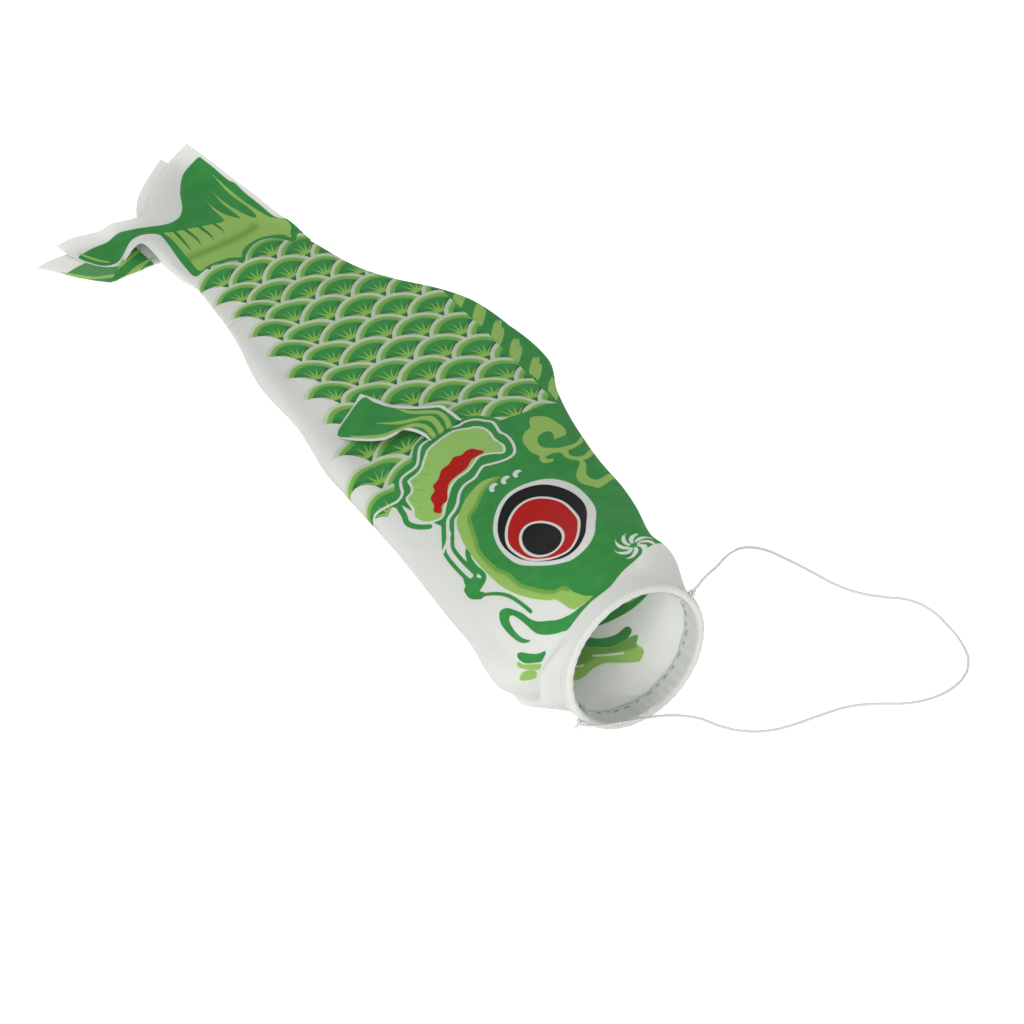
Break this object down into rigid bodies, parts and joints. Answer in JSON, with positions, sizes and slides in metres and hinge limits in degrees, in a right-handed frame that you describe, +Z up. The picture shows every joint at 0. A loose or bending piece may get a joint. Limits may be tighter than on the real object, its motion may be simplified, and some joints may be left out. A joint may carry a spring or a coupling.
{
  "type": "carp streamer windsock",
  "caption": "Fish-shaped fabric windsock with a hooped mouth, a cord bridle, side fins and an open forked tail, lying flat.",
  "frame": {"origin": "centre of the bottom of the object's box, without its cord, on the surface that it lies on", "axes": "+X along the fish towards its mouth, +Y across the fish towards its back, +Z up from the surface"},
  "size_m": [0.6534, 0.307, 0.089],
  "materials": {
    "printed_cloth": "thin plain-woven polyester, dye-printed green, leaf green, white, red and black",
    "white_cloth": "thin plain-woven polyester, white, slightly see-through",
    "green_thread": "twisted polyester sewing thread",
    "white_cord": "soft braided polyester cord",
    "hoop_plastic": "drawn plastic rod, satin",
    "sleeve_plastic": "thin plastic tube, satin"
  },
  "bodies": {
    "front": {"mouth_ring": "hoop_plastic", "ring_sleeve": "sleeve_plastic", "mouth_hem": "white_cloth", "hem_stitching": "green_thread", "right_front_panel": "printed_cloth", "left_front_panel": "printed_cloth", "back_seam_front": "white_cloth", "belly_seam_front": "white_cloth", "right_fin_seam": "white_cloth", "left_fin_seam": "white_cloth"},
    "rear": {"right_rear_panel": "printed_cloth", "left_rear_panel": "printed_cloth", "back_seam_rear": "white_cloth", "belly_seam_rear": "white_cloth"},
    "right_tail": {"right_tail_fin": "printed_cloth"},
    "left_tail": {"left_tail_fin": "printed_cloth"},
    "right_fin": {"right_pectoral_fin": "printed_cloth"},
    "left_fin": {"left_pectoral_fin": "printed_cloth"},
    "bridle": {"bridle_cord": "white_cord", "upper_knot": "white_cord", "lower_knot": "white_cord"}
  },
  "joints": [
    {"name": "rear_lift", "type": "hinge", "parent": "front", "child": "rear", "pos_m": [-0.05414, 0.00787, 0.0185], "axis": [0, 1, 0], "range_deg": [0, 40]},
    {"name": "right_tail_flutter", "type": "hinge", "parent": "rear", "child": "right_tail", "pos_m": [-0.15414, 0.00787, 0.0068], "axis": [0, 1, 0], "range_deg": [0, 70]},
    {"name": "left_tail_flutter", "type": "hinge", "parent": "rear", "child": "left_tail", "pos_m": [-0.15414, 0.00787, 0.0068], "axis": [0, 1, 0], "range_deg": [0, 42]},
    {"name": "right_fin_flap", "type": "hinge", "parent": "front", "child": "right_fin", "pos_m": [0.06586, 0.01637, 0.0368], "axis": [-0.2079, 0.9781, 0], "range_deg": [0, 90]},
    {"name": "left_fin_flap", "type": "hinge", "parent": "front", "child": "left_fin", "pos_m": [0.06586, 0.01637, 0.0003], "axis": [0.2079, -0.9781, 0], "range_deg": [0, 60]},
    {"name": "bridle_swing", "type": "hinge", "parent": "front", "child": "bridle", "pos_m": [0.27023, 0.04953, 0.06889], "axis": [0.1159, -0.8572, -0.5018], "range_deg": [0, 85]}
  ],
  "couplings": [
    {"joint": "left_tail_flutter", "follows": "right_tail_flutter", "ratio": 0.6}
  ]
}
